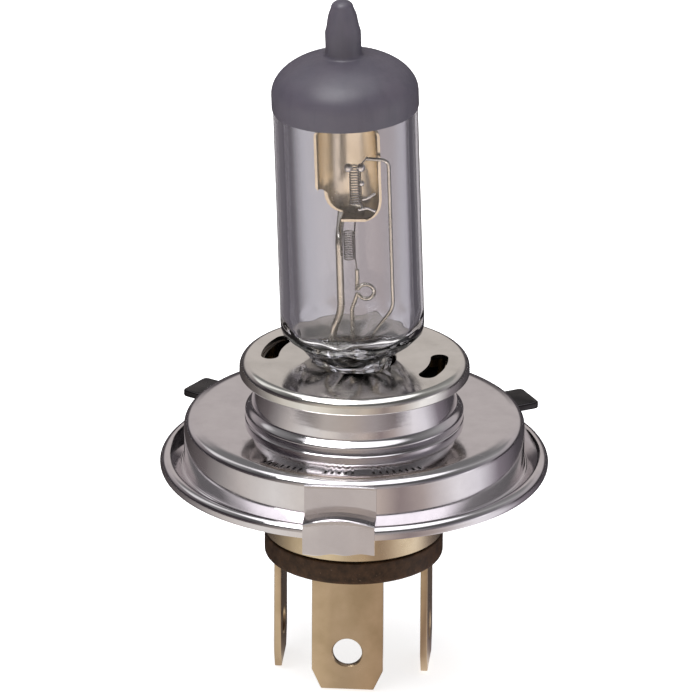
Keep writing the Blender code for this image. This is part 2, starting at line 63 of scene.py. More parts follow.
MM = 0.001

# Camera, its places in metres
VIEW_AZIMUTH = 4.5
VIEW_ELEVATION = 22.5
VIEW_DISTANCE = 1.200
VIEW_ROLL = 0.26
LENS = 551.9
AIM_RIGHT = -0.00052
AIM_UP = 0.0079

# Table and the glowing sheets on it, in metres
TABLE_HALF = 3.0
TABLE_DROP = 0.0003
GLOW_HALF = 2.5
REFLECTOR_DROP = 0.0002
BACKDROP_DROP = 0.0001

# Heights where one band of the surroundings gives way to the next, as the sine of the elevation
SKY_START = (0.17, 0.31)
BELT_START = (0.46, 0.56)
BOX_START = (0.80, 0.90)
BOX_COLOUR = (1.9, 1.9, 1.95)

# Reference ring
RING_RADIUS = 19.1
SHEET = 0.6
COLLAR_RADIUS = 12.25
SHOULDER_RADIUS = 1.7
WALL_BOTTOM_Z = -5.0
FLANGE_FILLET = 0.5
FLANGE_RADIUS = 21.8
WIDE_LUG_WIDTH = 8.0
WIDE_LUG_REACH = 21.5
WIDE_LUG_TOP_Z = -3.9
NARROW_LUG_WIDTH = 4.6
NARROW_LUG_REACH = 22.1
NARROW_LUG_TOP_Z = -1.4
NARROW_LUG_BOTTOM_Z = -2.2
ROLL_RADIUS = 0.85
ROLL_END = -40.0
ROLL_END_SINE = 0.643
NARROW_LUG_ANGLES = {"left": 150.0, "right": 30.0}
TAB_BOTTOM_Z = -7.7
STROKE_NEAR = 16.25
STROKE_FAR = 17.0
STROKE_HALF_WIDTH = 0.13
STROKE_DEPTH = 0.14
STROKE_SPACING = 2.6
NECK_RADIUS = 10.7
NECK_WALL = 0.5
HEAD_RIM_BOTTOM_Z = 5.3
HEAD_HOLE_RADIUS = 4.6
HEAD_EDGE_ROUND = 1.05
HEAD_SHEET = 0.5
SLOT_PITCH_RADIUS = 9.5
SLOT_WIDTH = 2.0
SLOT_SPAN = 43.0
SLOT_ANGLES = (166.0, -11.0)
CUP_WALL = 0.4

# Insulator and terminals
PLATE_TOP_Z = -13.8
SPIGOT_RADIUS = 9.4
SPIGOT_TOP_Z = -11.6
BLADE_WIDTH = 8.0
BLADE_THICKNESS = 0.8
BLADE_OFFSET = 8.25
BLADE_TIP_Z = -29.8
BLADE_TIP_WIDTH = 5.9
BLADE_CHAMFER_HEIGHT = 2.3
BLADE_HOLE_DIAMETER = 3.3
BLADE_HOLE_HEIGHT = 4.5
TANG_WIDTH = 4.0
TANG_TOP_Z = -8.6
BLADE_ANGLES = {"front": -90.0, "left": 180.0, "right": 0.0}

# Glass capsule
CAPSULE_LEAN = 2.0
CAPSULE_PIVOT_Z = 4.0
GLASS_RADIUS = 8.05
GLASS_WALL = 1.1
DOME_BASE_Z = 38.8
DOME_HEIGHT = 4.4
PINCH_HALF_WIDTH = 3.7
PINCH_HALF_DEPTH = 1.6
PINCH_BOTTOM_Z = -3.0
CAVITY_BOTTOM_Z = 8.6
STEM_RADIUS = 1.86
STEM_TOP_Z = 46.0
STEM_FOOT_FLARE = 0.5
STEM_FOOT_HEIGHT = 0.7
NUB_RADIUS = 1.12
NUB_END_Z = 48.8
TIP_Z = 49.55
COATING_EDGE_Z = 37.0
COATING_THICKNESS = 0.1
COATING_GAP = 0.04
LEAD_SPACING = 2.3
LEAD_RADIUS = 0.3
COMMON_LEAD_RADIUS = 0.42
FOIL_TOP_Z = 4.4
SHIELD_RADIUS = 3.7
SHIELD_SHEET = 0.3
SHIELD_BOTTOM_Z = 23.4
SHIELD_TOP_Z = 34.0
SHIELD_CUT_X = -0.9
SHIELD_CUT_TOP_Z = 27.6
COIL_RADIUS = 0.62
COIL_WIRE_RADIUS = 0.085

# Points round a turned shape, and the edge angles above which shading stays sharp
RING_STEPS = 224
HEAD_STEPS = 192
CUP_STEPS = 160
PLATE_STEPS = 144
CAPSULE_STEPS = 112
SHARP_ANGLE = 38.0
COATING_SHARP_ANGLE = 50.0
CAPSULE_SHARP_ANGLE = 60.0


# ---------------------------------------------------------------- camera, floor and light

def make_camera():
    azimuth, elevation = math.radians(VIEW_AZIMUTH), math.radians(VIEW_ELEVATION)
    right = Vector((math.cos(azimuth), math.sin(azimuth), 0))
    aim = right * AIM_RIGHT + Vector((0, 0, AIM_UP))
    back = Vector((math.sin(azimuth) * math.cos(elevation), -math.cos(azimuth) * math.cos(elevation),
                   math.sin(elevation)))
    data = bpy.data.cameras.new("camera")
    data.lens = LENS
    data.clip_start, data.clip_end = 0.01, 50
    camera = bpy.data.objects.new("camera", data)
    bpy.context.scene.collection.objects.link(camera)
    turn = back.to_track_quat("Z", "Y").to_matrix().to_4x4()
    camera.matrix_world = (Matrix.Translation(aim + back * VIEW_DISTANCE) @ turn
                           @ Matrix.Rotation(math.radians(VIEW_ROLL), 4, "Z"))
    bpy.context.scene.camera = camera


class Nodes:
    """Short calls for building a node tree."""

    def __init__(self, owner):
        owner.use_nodes = True
        self.tree = owner.node_tree

    def clear(self):
        self.tree.nodes.clear()

    def add(self, kind, **values):
        node = self.tree.nodes.new("ShaderNode" + kind)
        for key, value in values.items():
            setattr(node, key, value)
        return node

    def link(self, source, target):
        self.tree.links.new(source, target)

    def feed(self, value, socket):
        """Set a number or a colour on a socket, or link another node's output to it."""
        if isinstance(value, (int, float)):
            socket.default_value = value
        elif isinstance(value, tuple):
            socket.default_value = (*value, 1)
        else:
            self.link(value, socket)

    def math(self, operation, *values):
        node = self.add("Math", operation=operation)
        for index, value in enumerate(values):
            self.feed(value, node.inputs[index])
        return node.outputs[0]

    def ramp(self, factor, stops, interpolation="LINEAR"):
        node = self.add("ValToRGB")
        ramp = node.color_ramp
        ramp.interpolation = interpolation
        while len(ramp.elements) < len(stops):
            ramp.elements.new(0.5)
        for element, (position, colour) in zip(ramp.elements, stops):
            element.position = position
            element.color = (*colour, 1) if isinstance(colour, tuple) else (colour, colour, colour, 1)
        self.link(factor, node.inputs[0])
        return node.outputs[0]

    def rise(self, factor, low, high, interpolation="LINEAR"):
        """0 up to low, 1 from high on."""
        return self.ramp(factor, [(low, 0.0), (high, 1.0)], interpolation)

    def span(self, value, low, high, top=1.0):
        """Map 0 to top onto low to high."""
        node = self.add("MapRange")
        self.link(value, node.inputs["Value"])
        node.inputs["From Max"].default_value = top
        node.inputs["To Min"].default_value = low
        node.inputs["To Max"].default_value = high
        return node.outputs[0]

    def mix(self, factor, first, second):
        node = self.add("Mix", data_type="RGBA")
        for index, value in ((0, factor), (6, first), (7, second)):
            self.feed(value, node.inputs[index])
        return node.outputs[2]


# The surroundings, once round the object: 0 and 1 lie behind it, 0.25 to its left, 0.5 in front of it and
# 0.75 to its right. Each stop is (share of the way round, colour or brightness).
FLOOR_RING = [(0.00, (0.06, 0.055, 0.06)), (0.13, (0.07, 0.06, 0.06)), (0.21, (0.17, 0.15, 0.15)),
              (0.25, (0.32, 0.30, 0.29)), (0.31, (0.66, 0.62, 0.58)), (0.375, (0.86, 0.84, 0.80)),
              (0.44, (0.84, 0.79, 0.72)), (0.49, (0.62, 0.57, 0.53)), (0.545, (0.66, 0.57, 0.50)),
              (0.59, (0.33, 0.27, 0.26)), (0.63, (0.50, 0.43, 0.40)), (0.70, (1.02, 1.00, 1.02)),
              (0.745, (0.90, 0.88, 0.92)), (0.80, (0.26, 0.23, 0.26)), (0.87, (0.09, 0.08, 0.09)),
              (0.94, (0.05, 0.045, 0.05)), (1.00, (0.06, 0.055, 0.06))]
SKY_RING = [(0.00, (0.58, 0.54, 0.52)), (0.10, (0.52, 0.48, 0.48)), (0.17, (0.22, 0.20, 0.21)),
            (0.24, (0.035, 0.03, 0.035)), (0.34, (0.06, 0.05, 0.06)), (0.42, (0.50, 0.46, 0.42)),
            (0.50, (0.55, 0.49, 0.42)), (0.57, (0.42, 0.40, 0.40)), (0.66, (0.16, 0.15, 0.17)),
            (0.78, (0.24, 0.23, 0.25)), (0.86, (0.45, 0.43, 0.44)), (0.92, (0.54, 0.50, 0.50)),
            (1.00, (0.58, 0.54, 0.52))]
BACKDROP_RING = [(0.00, (0.62, 0.55, 0.54)), (0.012, (0.66, 0.60, 0.60)), (0.022, (0.80, 0.77, 0.79)),
                 (0.037, (0.86, 0.84, 0.87)), (0.057, (0.24, 0.22, 0.24)), (0.20, (0.11, 0.10, 0.12)),
                 (0.30, (0.40, 0.36, 0.33)), (0.38, (1.70, 1.48, 1.25)), (0.50, (1.85, 1.60, 1.35)),
                 (0.62, (1.70, 1.55, 1.45)), (0.70, (0.40, 0.36, 0.36)), (0.80, (0.11, 0.10, 0.12)),
                 (0.940, (0.13, 0.12, 0.135)), (0.959, (0.96, 0.92, 0.96)), (0.975, (0.86, 0.83, 0.85)),
                 (0.988, (0.68, 0.62, 0.62)), (1.00, (0.62, 0.55, 0.54))]
BELT_RING = [(0.00, 0.18), (0.09, 0.22), (0.125, 0.8), (0.165, 1.0), (0.20, 0.3), (0.30, 0.10),
             (0.42, 0.15), (0.57, 0.13), (0.70, 0.10), (0.80, 0.25), (0.85, 0.45), (0.90, 0.30),
             (1.00, 0.18)]
HORIZON_RING = [(0.00, (0.10, 0.09, 0.095)), (0.16, (0.05, 0.045, 0.05)), (0.24, (0.04, 0.035, 0.04)),
                (0.34, (0.14, 0.12, 0.12)), (0.42, (0.55, 0.51, 0.46)), (0.50, (0.55, 0.49, 0.43)),
                (0.57, (0.44, 0.40, 0.39)), (0.640, (0.22, 0.19, 0.19)), (0.685, (0.55, 0.53, 0.55)),
                (0.735, (1.20, 1.18, 1.22)), (0.775, (0.50, 0.48, 0.50)), (0.81, (0.08, 0.07, 0.08)),
                (0.88, (0.05, 0.045, 0.05)), (1.00, (0.10, 0.09, 0.095))]


def surround_colour(nodes, vector, ring):
    """Colour by compass direction, and the direction's height."""
    split = nodes.add("SeparateXYZ")
    nodes.link(vector, split.inputs[0])
    away = nodes.math("MULTIPLY", split.outputs["Y"], -1.0)
    angle = nodes.math("ARCTAN2", split.outputs["X"], away)
    around = nodes.math("MULTIPLY_ADD", angle, 1 / math.tau, 0.5)
    return nodes.ramp(around, ring), split.outputs["Z"]


def make_world():
    """A soft box overhead, a dim belt below it, and the light and dark walls of the studio."""
    world = bpy.data.worlds.new("studio")
    nodes = Nodes(world)
    background = world.node_tree.nodes["Background"]
    direction = nodes.add("TexCoord").outputs["Generated"]
    high_ring, height = surround_colour(nodes, direction, SKY_RING)
    low_ring, _ = surround_colour(nodes, direction, HORIZON_RING)
    belt_ring, _ = surround_colour(nodes, direction, BELT_RING)
    walls = nodes.mix(nodes.rise(height, *SKY_START, "EASE"), low_ring, high_ring)
    walls = nodes.mix(nodes.rise(height, *BELT_START, "EASE"), walls, belt_ring)
    colour = nodes.mix(nodes.rise(height, *BOX_START, "EASE"), walls, BOX_COLOUR)
    nodes.link(colour, background.inputs["Color"])
    background.inputs["Strength"].default_value = 1.0
    bpy.context.scene.world = world


def flat_square(name, half, z):
    mesh = bpy.data.meshes.new(name)
    corners = [(-half, -half, z), (half, -half, z), (half, half, z), (-half, half, z)]
    mesh.from_pydata(corners, [], [(0, 1, 2, 3)])
    obj = bpy.data.objects.new(name, mesh)
    bpy.context.scene.collection.objects.link(obj)
    return obj


def make_floor():
    """A white table, and just above it one sheet seen only in polish and one seen only through glass."""
    floor = flat_square("floor", TABLE_HALF, cad_low[2] - TABLE_DROP)
    made, _, shader = principled("floor_white")
    shader.inputs["Base Color"].default_value = (0.92, 0.92, 0.92, 1)
    shader.inputs["Roughness"].default_value = 0.9
    shader.inputs["Specular IOR Level"].default_value = 0.0
    shader.inputs["Emission Color"].default_value = (1, 1, 1, 1)
    shader.inputs["Emission Strength"].default_value = 0.75
    floor.data.materials.append(made)
    floor.visible_transmission = False
    make_sheet("floor_reflector", REFLECTOR_DROP, FLOOR_RING).visible_transmission = False
    make_sheet("glass_backdrop", BACKDROP_DROP, BACKDROP_RING).visible_glossy = False


def make_sheet(name, drop, ring):
    """A glowing ring of light and dark laid on the table, out of the camera's sight."""
    sheet = flat_square(name, GLOW_HALF, cad_low[2] - drop)
    made = bpy.data.materials.new(name)
    nodes = Nodes(made)
    nodes.clear()
    output, glow = nodes.add("OutputMaterial"), nodes.add("Emission")
    around, _ = surround_colour(nodes, nodes.add("TexCoord").outputs["Object"], ring)
    nodes.link(around, glow.inputs["Color"])
    glow.inputs["Strength"].default_value = 1.0
    nodes.link(glow.outputs[0], output.inputs["Surface"])
    sheet.data.materials.append(made)
    sheet.visible_camera = False
    sheet.visible_diffuse = False
    sheet.visible_shadow = False
    return sheet


def make_lamp(name, position, aim, size, power):
    data = bpy.data.lights.new(name, "AREA")
    data.shape, data.size, data.energy = "SQUARE", size, power
    lamp = bpy.data.objects.new(name, data)
    lamp.location = position
    lamp.rotation_euler = (Vector(position) - Vector(aim)).to_track_quat("Z", "Y").to_euler()
    bpy.context.scene.collection.objects.link(lamp)


# ---------------------------------------------------------------- finishes

def principled(name):
    made = bpy.data.materials.new(name)
    nodes = Nodes(made)
    return made, nodes, made.node_tree.nodes["Principled BSDF"]


def place(nodes, stretch=(1, 1, 1)):
    """Object coordinates, stretched along each axis."""
    mapping = nodes.add("Mapping")
    mapping.inputs["Scale"].default_value = stretch
    nodes.link(nodes.add("TexCoord").outputs["Object"], mapping.inputs["Vector"])
    return mapping.outputs["Vector"]


def turned(nodes):
    """Coordinates (radius, height): marks drawn from them run round the axis."""
    split = nodes.add("SeparateXYZ")
    nodes.link(nodes.add("TexCoord").outputs["Object"], split.inputs[0])
    square = [nodes.math("MULTIPLY", split.outputs[k], split.outputs[k]) for k in ("X", "Y")]
    radius = nodes.math("SQRT", nodes.math("ADD", *square))
    join = nodes.add("CombineXYZ")
    nodes.link(radius, join.inputs["X"])
    nodes.link(split.outputs["Z"], join.inputs["Z"])
    return join.outputs[0]


def noise(nodes, vector, scale, detail, rough, seed):
    node = nodes.add("TexNoise", noise_dimensions="4D")
    node.inputs["Scale"].default_value = scale
    node.inputs["Detail"].default_value = detail
    node.inputs["Roughness"].default_value = rough
    node.inputs["W"].default_value = seed
    nodes.link(vector, node.inputs["Vector"])
    return node.outputs[0]


def bump(nodes, shader, *layers):
    """Stack (height, strength, distance in mm) layers onto the shader's normal."""
    normal = None
    for height, strength, distance in layers:
        node = nodes.add("Bump")
        node.inputs["Strength"].default_value = strength
        node.inputs["Distance"].default_value = distance * MM
        nodes.link(height, node.inputs["Height"])
        if normal:
            nodes.link(normal, node.inputs["Normal"])
        normal = node.outputs[0]
    nodes.link(normal, shader.inputs["Normal"])


def plated_metal(name, light, dark, smooth, worn, seed, lines="turned", line_strength=0.12):
    """Bright metal with clouded tarnish, drawing lines, fine scratches and faint handling dents."""
    made, nodes, shader = principled(name)
    shader.inputs["Metallic"].default_value = 1.0
    cloud = nodes.rise(noise(nodes, place(nodes), 240, 4, 0.6, seed), 0.36, 0.68)
    fine = noise(nodes, place(nodes), 1500, 3, 0.6, seed + 1)
    nodes.link(nodes.mix(cloud, light, dark), shader.inputs["Base Color"])
    wear = nodes.math("MULTIPLY", cloud, fine)
    nodes.link(nodes.span(wear, smooth, worn, 0.6), shader.inputs["Roughness"])
    if lines == "turned":
        streak = noise(nodes, turned(nodes), 5200, 2, 0.5, seed + 3)
    elif lines == "upright":
        streak = noise(nodes, place(nodes, (6000, 6000, 160)), 1.0, 2, 0.5, seed + 3)
    else:
        streak = noise(nodes, place(nodes), 5200, 2, 0.5, seed + 3)
    scratch = noise(nodes, place(nodes, (900, 5200, 900)), 1.0, 1, 0.4, seed + 4)
    cut = nodes.rise(scratch, 0.70, 0.76)
    dents = noise(nodes, place(nodes), 190, 1, 0.3, seed + 5)
    bump(nodes, shader, (dents, 0.35, 0.10), (streak, line_strength, 0.02), (cut, 0.12, 0.015))
    return made


def glass_finish(name, tint, seed):
    """Clear quartz with a grey-violet tint and faint drawing streaks along the tube."""
    made, nodes, shader = principled(name)
    drift = noise(nodes, place(nodes, (420, 420, 30)), 1.0, 2, 0.5, seed)
    shade = tuple(c * 0.93 for c in tint)
    nodes.link(nodes.mix(drift, tint, shade), shader.inputs["Base Color"])
    shader.inputs["Transmission Weight"].default_value = 1.0
    shader.inputs["Roughness"].default_value = 0.0
    shader.inputs["IOR"].default_value = 1.458
    ripple = noise(nodes, place(nodes, (260, 260, 40)), 1.0, 1, 0.4, seed + 1)
    bump(nodes, shader, (ripple, 0.25, 0.06))
    return made


def coating_finish(name, seed):
    """Satin heat-proof lacquer: clouded grey-violet, dipped, with tiny specks and runs."""
    made, nodes, shader = principled(name)
    cloud = noise(nodes, place(nodes), 170, 4, 0.6, seed)
    run = noise(nodes, place(nodes, (700, 700, 90)), 1.0, 3, 0.6, seed + 1)
    colour = nodes.mix(nodes.rise(cloud, 0.35, 0.66), (0.074, 0.068, 0.090), (0.092, 0.080, 0.102))
    colour = nodes.mix(nodes.ramp(run, [(0.45, 0.0), (0.75, 0.5)]), colour, (0.058, 0.053, 0.070))
    nodes.link(colour, shader.inputs["Base Color"])
    shader.inputs["Specular IOR Level"].default_value = 0.5
    speck = noise(nodes, place(nodes), 2600, 2, 0.5, seed + 2)
    nodes.link(nodes.span(speck, 0.30, 0.52), shader.inputs["Roughness"])
    bump(nodes, shader, (cloud, 0.3, 0.08), (speck, 0.12, 0.02))
    return made


def phenolic_finish(name, seed):
    """Dark brown moulding compound: mottled filler, fine grain and a satin skin."""
    made, nodes, shader = principled(name)
    mottle = noise(nodes, place(nodes), 900, 5, 0.7, seed)
    colour = nodes.mix(nodes.rise(mottle, 0.38, 0.66), (0.026, 0.012, 0.004), (0.064, 0.029, 0.011))
    fleck = nodes.rise(noise(nodes, place(nodes), 3800, 1, 0.4, seed + 1), 0.70, 0.76)
    colour = nodes.mix(fleck, colour, (0.10, 0.06, 0.035))
    nodes.link(colour, shader.inputs["Base Color"])
    nodes.link(nodes.span(mottle, 0.38, 0.62), shader.inputs["Roughness"])
    shader.inputs["Specular IOR Level"].default_value = 0.22
    grain = noise(nodes, place(nodes), 3000, 3, 0.6, seed + 2)
    bump(nodes, shader, (grain, 0.25, 0.03))
    return made


# ---------------------------------------------------------------- mesh helpers

def arc(centre, radius, start, end, steps):
    angles = [math.radians(start + (end - start) * i / steps) for i in range(steps + 1)]
    return [(centre[0] + radius * math.cos(a), centre[1] + radius * math.sin(a)) for a in angles]


def smoothstep(t):
    return t * t * (3 - 2 * t)


def circle(radius, z, steps=CAPSULE_STEPS):
    """A level ring of points round the axis."""
    return [(radius * math.cos(math.tau * i / steps), radius * math.sin(math.tau * i / steps), z)
            for i in range(steps)]


def superellipse(a, b, power, z):
    """A level ring between an ellipse, at power 2, and a rectangle."""
    ring = []
    for c, s, _ in circle(1.0, z):
        ring.append((a * math.copysign(abs(c) ** (2 / power), c),
                     b * math.copysign(abs(s) ** (2 / power), s), z))
    return ring


def skin(bm, rings, closed=False, caps=False):
    """Join rings of points with quads; a ring of one point closes to a fan."""
    loops = [[bm.verts.new(p) for p in ring] for ring in rings]
    pairs = list(zip(loops, loops[1:])) + ([(loops[-1], loops[0])] if closed else [])
    for low, high in pairs:
        count = max(len(low), len(high))
        for i in range(count):
            j = (i + 1) % count
            if len(low) == 1:
                bm.faces.new((low[0], high[j], high[i]))
            elif len(high) == 1:
                bm.faces.new((low[i], low[j], high[0]))
            else:
                bm.faces.new((low[i], low[j], high[j], high[i]))
    if caps:
        bm.faces.new(list(reversed(loops[0])))
        bm.faces.new(loops[-1])
    return bm


def lathe(outline, steps):
    """Spin a closed (radius, z) outline; it may start and end on the axis."""
    rings = [circle(r, z, steps) if r > 1e-6 else [(0.0, 0.0, z)] for r, z in outline]
    return skin(bmesh.new(), rings, closed=outline[0][0] > 1e-6)


def prism(points, low, high, axis="Z"):
    """A straight solid with the given outline, from low to high along an axis."""
    to_space = {"Z": lambda p, h: (p[0], p[1], h), "X": lambda p, h: (h, p[0], p[1]),
                "Y": lambda p, h: (p[0], h, p[1])}[axis]
    return skin(bmesh.new(), [[to_space(p, h) for p in points] for h in (low, high)], caps=True)


def soften(bm, width, angle):
    """Round the edges sharper than angle."""
    bmesh.ops.recalc_face_normals(bm, faces=bm.faces)
    sharp = [e for e in bm.edges if len(e.link_faces) == 2
             and e.calc_face_angle(0.0) > math.radians(angle)]
    bmesh.ops.bevel(bm, geom=sharp, offset=width, offset_type="OFFSET", segments=3,
                    profile=0.5, affect="EDGES", clamp_overlap=True)
    return bm


def spin_about_z(bm, degrees):
    bm.transform(Matrix.Rotation(math.radians(degrees), 4, "Z"))
    return bm


def merge(*parts):
    """Join bmeshes into one and free them."""
    joined = bmesh.new()
    for part in parts:
        scratch = bpy.data.meshes.new("scratch")
        part.to_mesh(scratch)
        joined.from_mesh(scratch)
        part.free()
        bpy.data.meshes.remove(scratch)
    return joined


def mesh_object(name, bm, finish, sharp_angle=SHARP_ANGLE, recalc=True, matrix=None):
    """Turn a bmesh in millimetres into a linked object in metres."""
    if recalc:
        bmesh.ops.recalc_face_normals(bm, faces=bm.faces)
    bm.transform(Matrix.Scale(MM, 4))
    if matrix:
        bm.transform(matrix)
    mesh = bpy.data.meshes.new(name)
    bm.to_mesh(mesh)
    bm.free()
    mesh.shade_smooth()
    mesh.set_sharp_from_angle(angle=math.radians(sharp_angle))
    mesh.materials.append(finish)
    obj = bpy.data.objects.new(name, mesh)
    bpy.context.scene.collection.objects.link(obj)
    return obj


def carve(target, cutter, operation="DIFFERENCE"):
    """Apply one Boolean and drop the cutter."""
    modifier = target.modifiers.new("carve", "BOOLEAN")
    modifier.operation, modifier.solver, modifier.object = operation, "EXACT", cutter
    modifier.material_mode = "TRANSFER"
    bpy.context.view_layer.update()
    shown = target.evaluated_get(bpy.context.evaluated_depsgraph_get())
    mesh = bpy.data.meshes.new_from_object(shown)
    target.modifiers.clear()
    target.data = mesh
    mesh.set_sharp_from_angle(angle=math.radians(SHARP_ANGLE))
    bpy.data.objects.remove(cutter, do_unlink=True)


def rounded_path(points, bend):
    """Round each corner with a curve that starts at most bend before it."""
    steps = 6
    path = [Vector(points[0])]
    for before, corner, after in zip(points, points[1:], points[2:]):
        before, corner, after = Vector(before), Vector(corner), Vector(after)
        back, onward = before - corner, after - corner
        reach = min(bend, back.length * 0.45, onward.length * 0.45)
        start, end = corner + back.normalized() * reach, corner + onward.normalized() * reach
        for i in range(steps + 1):
            t = i / steps
            path.append(start * (1 - t) ** 2 + corner * 2 * t * (1 - t) + end * t ** 2)
    path.append(Vector(points[-1]))
    return path


def tube(points, radius, sides):
    """A round wire through the points, as a closed bmesh."""
    points = [Vector(p) for p in points]
    tangents = []
    for i, p in enumerate(points):
        a, b = points[max(i - 1, 0)], points[min(i + 1, len(points) - 1)]
        tangents.append((b - a).normalized())
    side = tangents[0].orthogonal().normalized()
    rings = []
    for p, t in zip(points, tangents):
        side = (side - t * side.dot(t)).normalized()
        up = t.cross(side)
        rings.append([tuple(p + (side * math.cos(math.tau * k / sides) + up * math.sin(math.tau * k / sides))
                            * radius) for k in range(sides)])
    return skin(bmesh.new(), rings, caps=True)


def ball(centre, radius):
    bm = lathe(arc((0.0, 0.0), radius, -90, 90, 12), 24)
    bm.transform(Matrix.Translation(centre))
    return bm


def settle(piece, slot, *nodes):
    """Every piece rides on the one body and stands for its CAD nodes, which it hides; slot is not used."""
    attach(piece, "root")
    if nodes:
        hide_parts(*nodes)


# ---------------------------------------------------------------- reference ring

def ring_outline():
    """Half section: swelled collar, disc, shoulder, wall, and a flange rolled up at its edge."""
    swell_radius, swell_top_z, swell_height, swell_steps = NECK_RADIUS + 0.8, 1.9, 1.0, 16
    shoulder_round, groove_round = 0.95, 0.35
    groove_z = WALL_BOTTOM_Z - groove_round
    flange_bottom = WALL_BOTTOM_Z - FLANGE_FILLET - SHEET
    roll = (FLANGE_RADIUS - ROLL_RADIUS, flange_bottom + 0.10 + ROLL_END_SINE * ROLL_RADIUS)
    outside = [(NECK_RADIUS + 0.1, HEAD_RIM_BOTTOM_Z - 0.2), (NECK_RADIUS + 0.3, 4.2),
               (NECK_RADIUS + 0.62, 2.9), (NECK_RADIUS + 0.77, 2.15)]
    for i in range(swell_steps + 1):
        t = i / swell_steps
        outside.append((swell_radius + (COLLAR_RADIUS - swell_radius) * smoothstep(t),
                        swell_top_z - swell_height * t))
    outside += [(COLLAR_RADIUS, 0.3), (COLLAR_RADIUS - 0.06, 0.08), (COLLAR_RADIUS + 0.02, 0.0)]
    outside += [(RING_RADIUS - 1.9, 0.0), (RING_RADIUS - 1.5, -0.025), (RING_RADIUS - 1.15, -0.09)]
    outside += arc((RING_RADIUS - shoulder_round, -1.1), shoulder_round, 82, 0, 14)
    outside += arc((RING_RADIUS + groove_round, groove_z), groove_round, 180, 250, 6)
    outside += arc(roll, ROLL_RADIUS, 120, ROLL_END, 22)
    inside = [(RING_RADIUS + 0.9, flange_bottom - 0.25), (RING_RADIUS + 0.2, flange_bottom - 0.2),
              (RING_RADIUS - SHEET, groove_z + 0.2)]
    inside += arc((RING_RADIUS - SHOULDER_RADIUS, -SHOULDER_RADIUS), SHOULDER_RADIUS - SHEET, 0, 90, 8)
    inside += [(COLLAR_RADIUS - SHEET, -SHEET), (COLLAR_RADIUS - SHEET, 0.4), (NECK_RADIUS + 0.1, 1.5)]
    return outside + inside


def lug_plan(width, reach):
    """Plan of a lug that points along x: round corners outside, and a root sunk in the ring's wall."""
    half, root, corner = width / 2, RING_RADIUS - 0.3, 0.6
    spread = math.degrees(math.asin(half / root))
    tip = arc((reach - corner, half - corner), corner, 90, 0, 5)
    tip += [(x, -y) for x, y in reversed(tip)]
    return tip + arc((0.0, 0.0), root, -spread, spread, 10)


def front_lug():
    """The wide lug: a flat-faced boss, a lip with a bowed crease, and the hanging tab.

    Its (y, z) section is repeated across the lug; the crease bows up in the middle, its bow fades out up
    the boss's face, and the tab's lower edge hangs unevenly.
    """
    half, steps = WIDE_LUG_WIDTH / 2, 16
    face, back, lip, top = -RING_RADIUS - 0.25, -RING_RADIUS + 0.3, -WIDE_LUG_REACH, WIDE_LUG_TOP_Z
    bow_height, bow_drop, bow_start_z = 0.62, 0.22, -1.5
    boss = [(back, -0.42), (face + 0.35, -0.46), (face + 0.08, -0.58), (face, -0.80), (face - 0.05, -2.0),
            (face - 0.08, -3.0), (face - 0.10, top + 0.02)]
    crease = [(face - 1.05, top - 0.02), (lip - 0.10, top - 0.06), (lip - 0.28, top - 0.13),
              (lip - 0.35, top - 0.28)]
    tab_front = [(lip - 0.36, -6.2)]
    tab_edge = [(lip - 0.20, TAB_BOTTOM_Z + 0.1), (lip - 0.05, TAB_BOTTOM_Z - 0.05),
                (lip + 0.30, TAB_BOTTOM_Z)]
    underside = [(lip + 0.1, -6.4), (face - 1.25, -6.25), (back, -6.0)]
    rings = []
    for i in range(steps + 1):
        x = -half + 2 * half * i / steps
        bow = bow_height * (1 - (x / half) ** 2) - bow_drop
        hang = 0.10 * math.sin(1.9 * x) - 0.16 * (x / half)
        section = [(y, z + bow * max(0.0, (bow_start_z - z) / (bow_start_z - top))) for y, z in boss]
        section += [(y, z + bow) for y, z in crease]
        section += tab_front + [(y, z - hang) for y, z in tab_edge] + underside
        rings.append([(x, y, z) for y, z in section])
    return skin(bmesh.new(), rings, caps=True)


def tick_marks():
    """Plain stamped strokes where a maker would stamp text: three groups of (first angle, count)."""
    bar = [(STROKE_NEAR, -STROKE_HALF_WIDTH), (STROKE_FAR, -STROKE_HALF_WIDTH),
           (STROKE_FAR, STROKE_HALF_WIDTH), (STROKE_NEAR, STROKE_HALF_WIDTH)]
    marks = []
    for start, count in ((-122, 7), (-96.5, 5), (-78, 8)):
        for i in range(count):
            marks.append(spin_about_z(prism(bar, -STROKE_DEPTH, 0.4), start + STROKE_SPACING * i))
    return merge(*marks)


def build_reference_ring(metal, stamped, dark_lug_metal):
    ring = mesh_object("ring_shell", lathe(ring_outline(), RING_STEPS), metal)
    # The cutter's dark finish passes to the floors of the strokes: painted shade in the stamped recesses.
    carve(ring, mesh_object("tick_cutter", tick_marks(), stamped))
    settle(ring, "plated_steel", "reference_ring")
    settle(mesh_object("wide_lug", front_lug(), metal), "plated_steel")
    for side, angle in NARROW_LUG_ANGLES.items():
        plan = lug_plan(NARROW_LUG_WIDTH, NARROW_LUG_REACH)
        lug = soften(prism(plan, NARROW_LUG_BOTTOM_Z, NARROW_LUG_TOP_Z), 0.18, 25)
        settle(mesh_object(side + "_lug", spin_about_z(lug, angle), dark_lug_metal), "plated_steel")


# ---------------------------------------------------------------- base shells

def top_bottom(node):
    low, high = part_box(node)
    return high[2] / MM, low[2] / MM


def outer_radius(node):
    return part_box(node)[1][0] / MM


